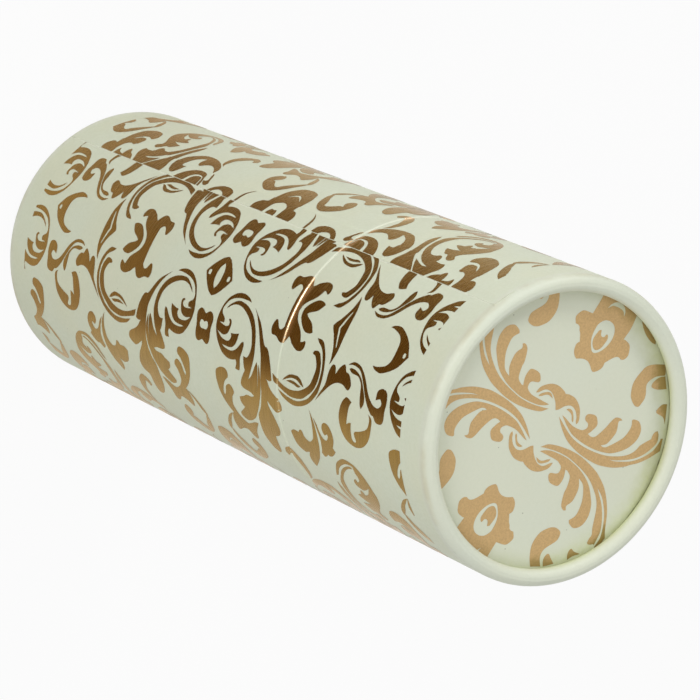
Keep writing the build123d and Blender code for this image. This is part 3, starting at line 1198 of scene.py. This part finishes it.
room_light = 0.54                       # the room's strength as a lamp; it looks plain white
softboxes = (                           # name, place, width, height, watts
    ("key", (-1.3, 0.1, 0.8), 0.3, 0.3, 5.9),
    ("front", (-0.12, -0.85, 0.6), 0.5, 0.4, 3.5),
    ("fill", (1.0, -0.1, 1.5), 0.9, 0.9, 3.6),
)

world = bpy.data.worlds.new("studio")
bpy.context.scene.world = world
world.use_nodes = True
room = world.node_tree.nodes["Background"]
room.inputs["Color"].default_value = (1.0, 1.0, 1.0, 1.0)
room_strength = band(world.node_tree, seen_directly(world.node_tree), 0.0, 1.0, room_light, 1.0)
feed(world.node_tree, room.inputs["Strength"], room_strength)


def soft_lamp(name, place, aim, width, height, watts):
    """Rectangular softbox aimed at a point."""
    lamp = bpy.data.lights.new(name, "AREA")
    lamp.shape = "RECTANGLE"
    lamp.size = width
    lamp.size_y = height
    lamp.energy = watts
    holder = bpy.data.objects.new(name, lamp)
    holder.location = place
    holder.rotation_euler = (Vector(aim) - Vector(place)).to_track_quat("-Z", "Y").to_euler()
    bpy.context.scene.collection.objects.link(holder)


for name, place, width, height, watts in softboxes:
    soft_lamp(name, place, (0.0, 0.0, top_height / 2), width, height, watts)

# A shaded card lies on the floor in front of the box. It glows and shows only in reflections,
# above all in the foil, as a painted reflection: dark brown straight ahead, paler towards its sides
# and close to the box.

card_near, card_far = 1.02 * tube_radius, 0.6
card_height = 0.0004
card_spread = math.radians(125)         # the card reaches this far round to each side
card_steps = 40
card_dark = (1.0, 0.60, 0.26)
card_pale = (1.0, 0.95, 0.84)
card_glow = (0.24, 0.88)                # strength where it is dark and where it is pale
pale_right = (math.radians(26), math.radians(62))       # measured round from straight ahead
pale_left = (math.radians(-118), math.radians(-22))
pale_near = (0.055, 0.17)               # distance from the tube's axis, metres
straight_ahead = -math.pi / 2


def card_finish():
    """Glowing card, a painted reflection, whose shade changes round the box and away from it."""
    finish, tree, shader = new_finish("shaded_card", (0.0, 0.0, 0.0), 1.0)
    _, across, angle, _ = tube_places(tree)
    ahead = calc(tree, "SUBTRACT", angle, straight_ahead)
    right = band(tree, ahead, *pale_right)
    left = band(tree, ahead, *pale_left, 1.0, 0.0)
    close_by = band(tree, across, *pale_near, 0.75, 0.0)
    shade = calc(tree, "MAXIMUM", calc(tree, "MAXIMUM", right, left), close_by)
    glow = tree.nodes.new("ShaderNodeEmission")
    feed(tree, glow.inputs["Color"], blend_colour(tree, shade, card_dark, card_pale))
    feed(tree, glow.inputs["Strength"], band(tree, shade, 0.0, 1.0, *card_glow))
    feed(tree, tree.nodes["Material Output"].inputs[0], glow.outputs[0])
    return finish


card_angles = [straight_ahead + card_spread * (2 * step / card_steps - 1) for step in range(card_steps + 1)]
card_corners = [(reach * math.cos(a), reach * math.sin(a), card_height)
                for reach in (card_near, card_far) for a in card_angles]
card_faces = [(i, i + card_steps + 1, i + card_steps + 2, i + 1) for i in range(card_steps)]
card = flat_object("shaded_card", card_corners, card_faces, card_finish())
card.visible_camera = False
card.visible_diffuse = False
card.visible_shadow = False

# The camera looks at the standing box at the photograph's viewing angle, and is turned on its side,
# because there the box lies slantwise in the frame with its lid towards the lens.

camera_place = Vector((0.00292, -0.69795, 1.13175))
camera_right = Vector((-0.4050, 0.7432, 0.5325))
camera_up = Vector((-0.9143, -0.3292, -0.2359))
lens_mm = 183.1
sensor_mm = 36.0

camera_data = bpy.data.cameras.new("camera")
camera_data.lens = lens_mm
camera_data.sensor_width = sensor_mm
camera = bpy.data.objects.new("camera", camera_data)
bpy.context.scene.collection.objects.link(camera)
camera_axes = np.array([camera_right, camera_up, camera_right.cross(camera_up)]).T
camera.matrix_world = Matrix.Translation(camera_place) @ Matrix(camera_axes.tolist()).to_4x4()
bpy.context.scene.camera = camera
bpy.context.scene.view_settings.view_transform = "Standard"
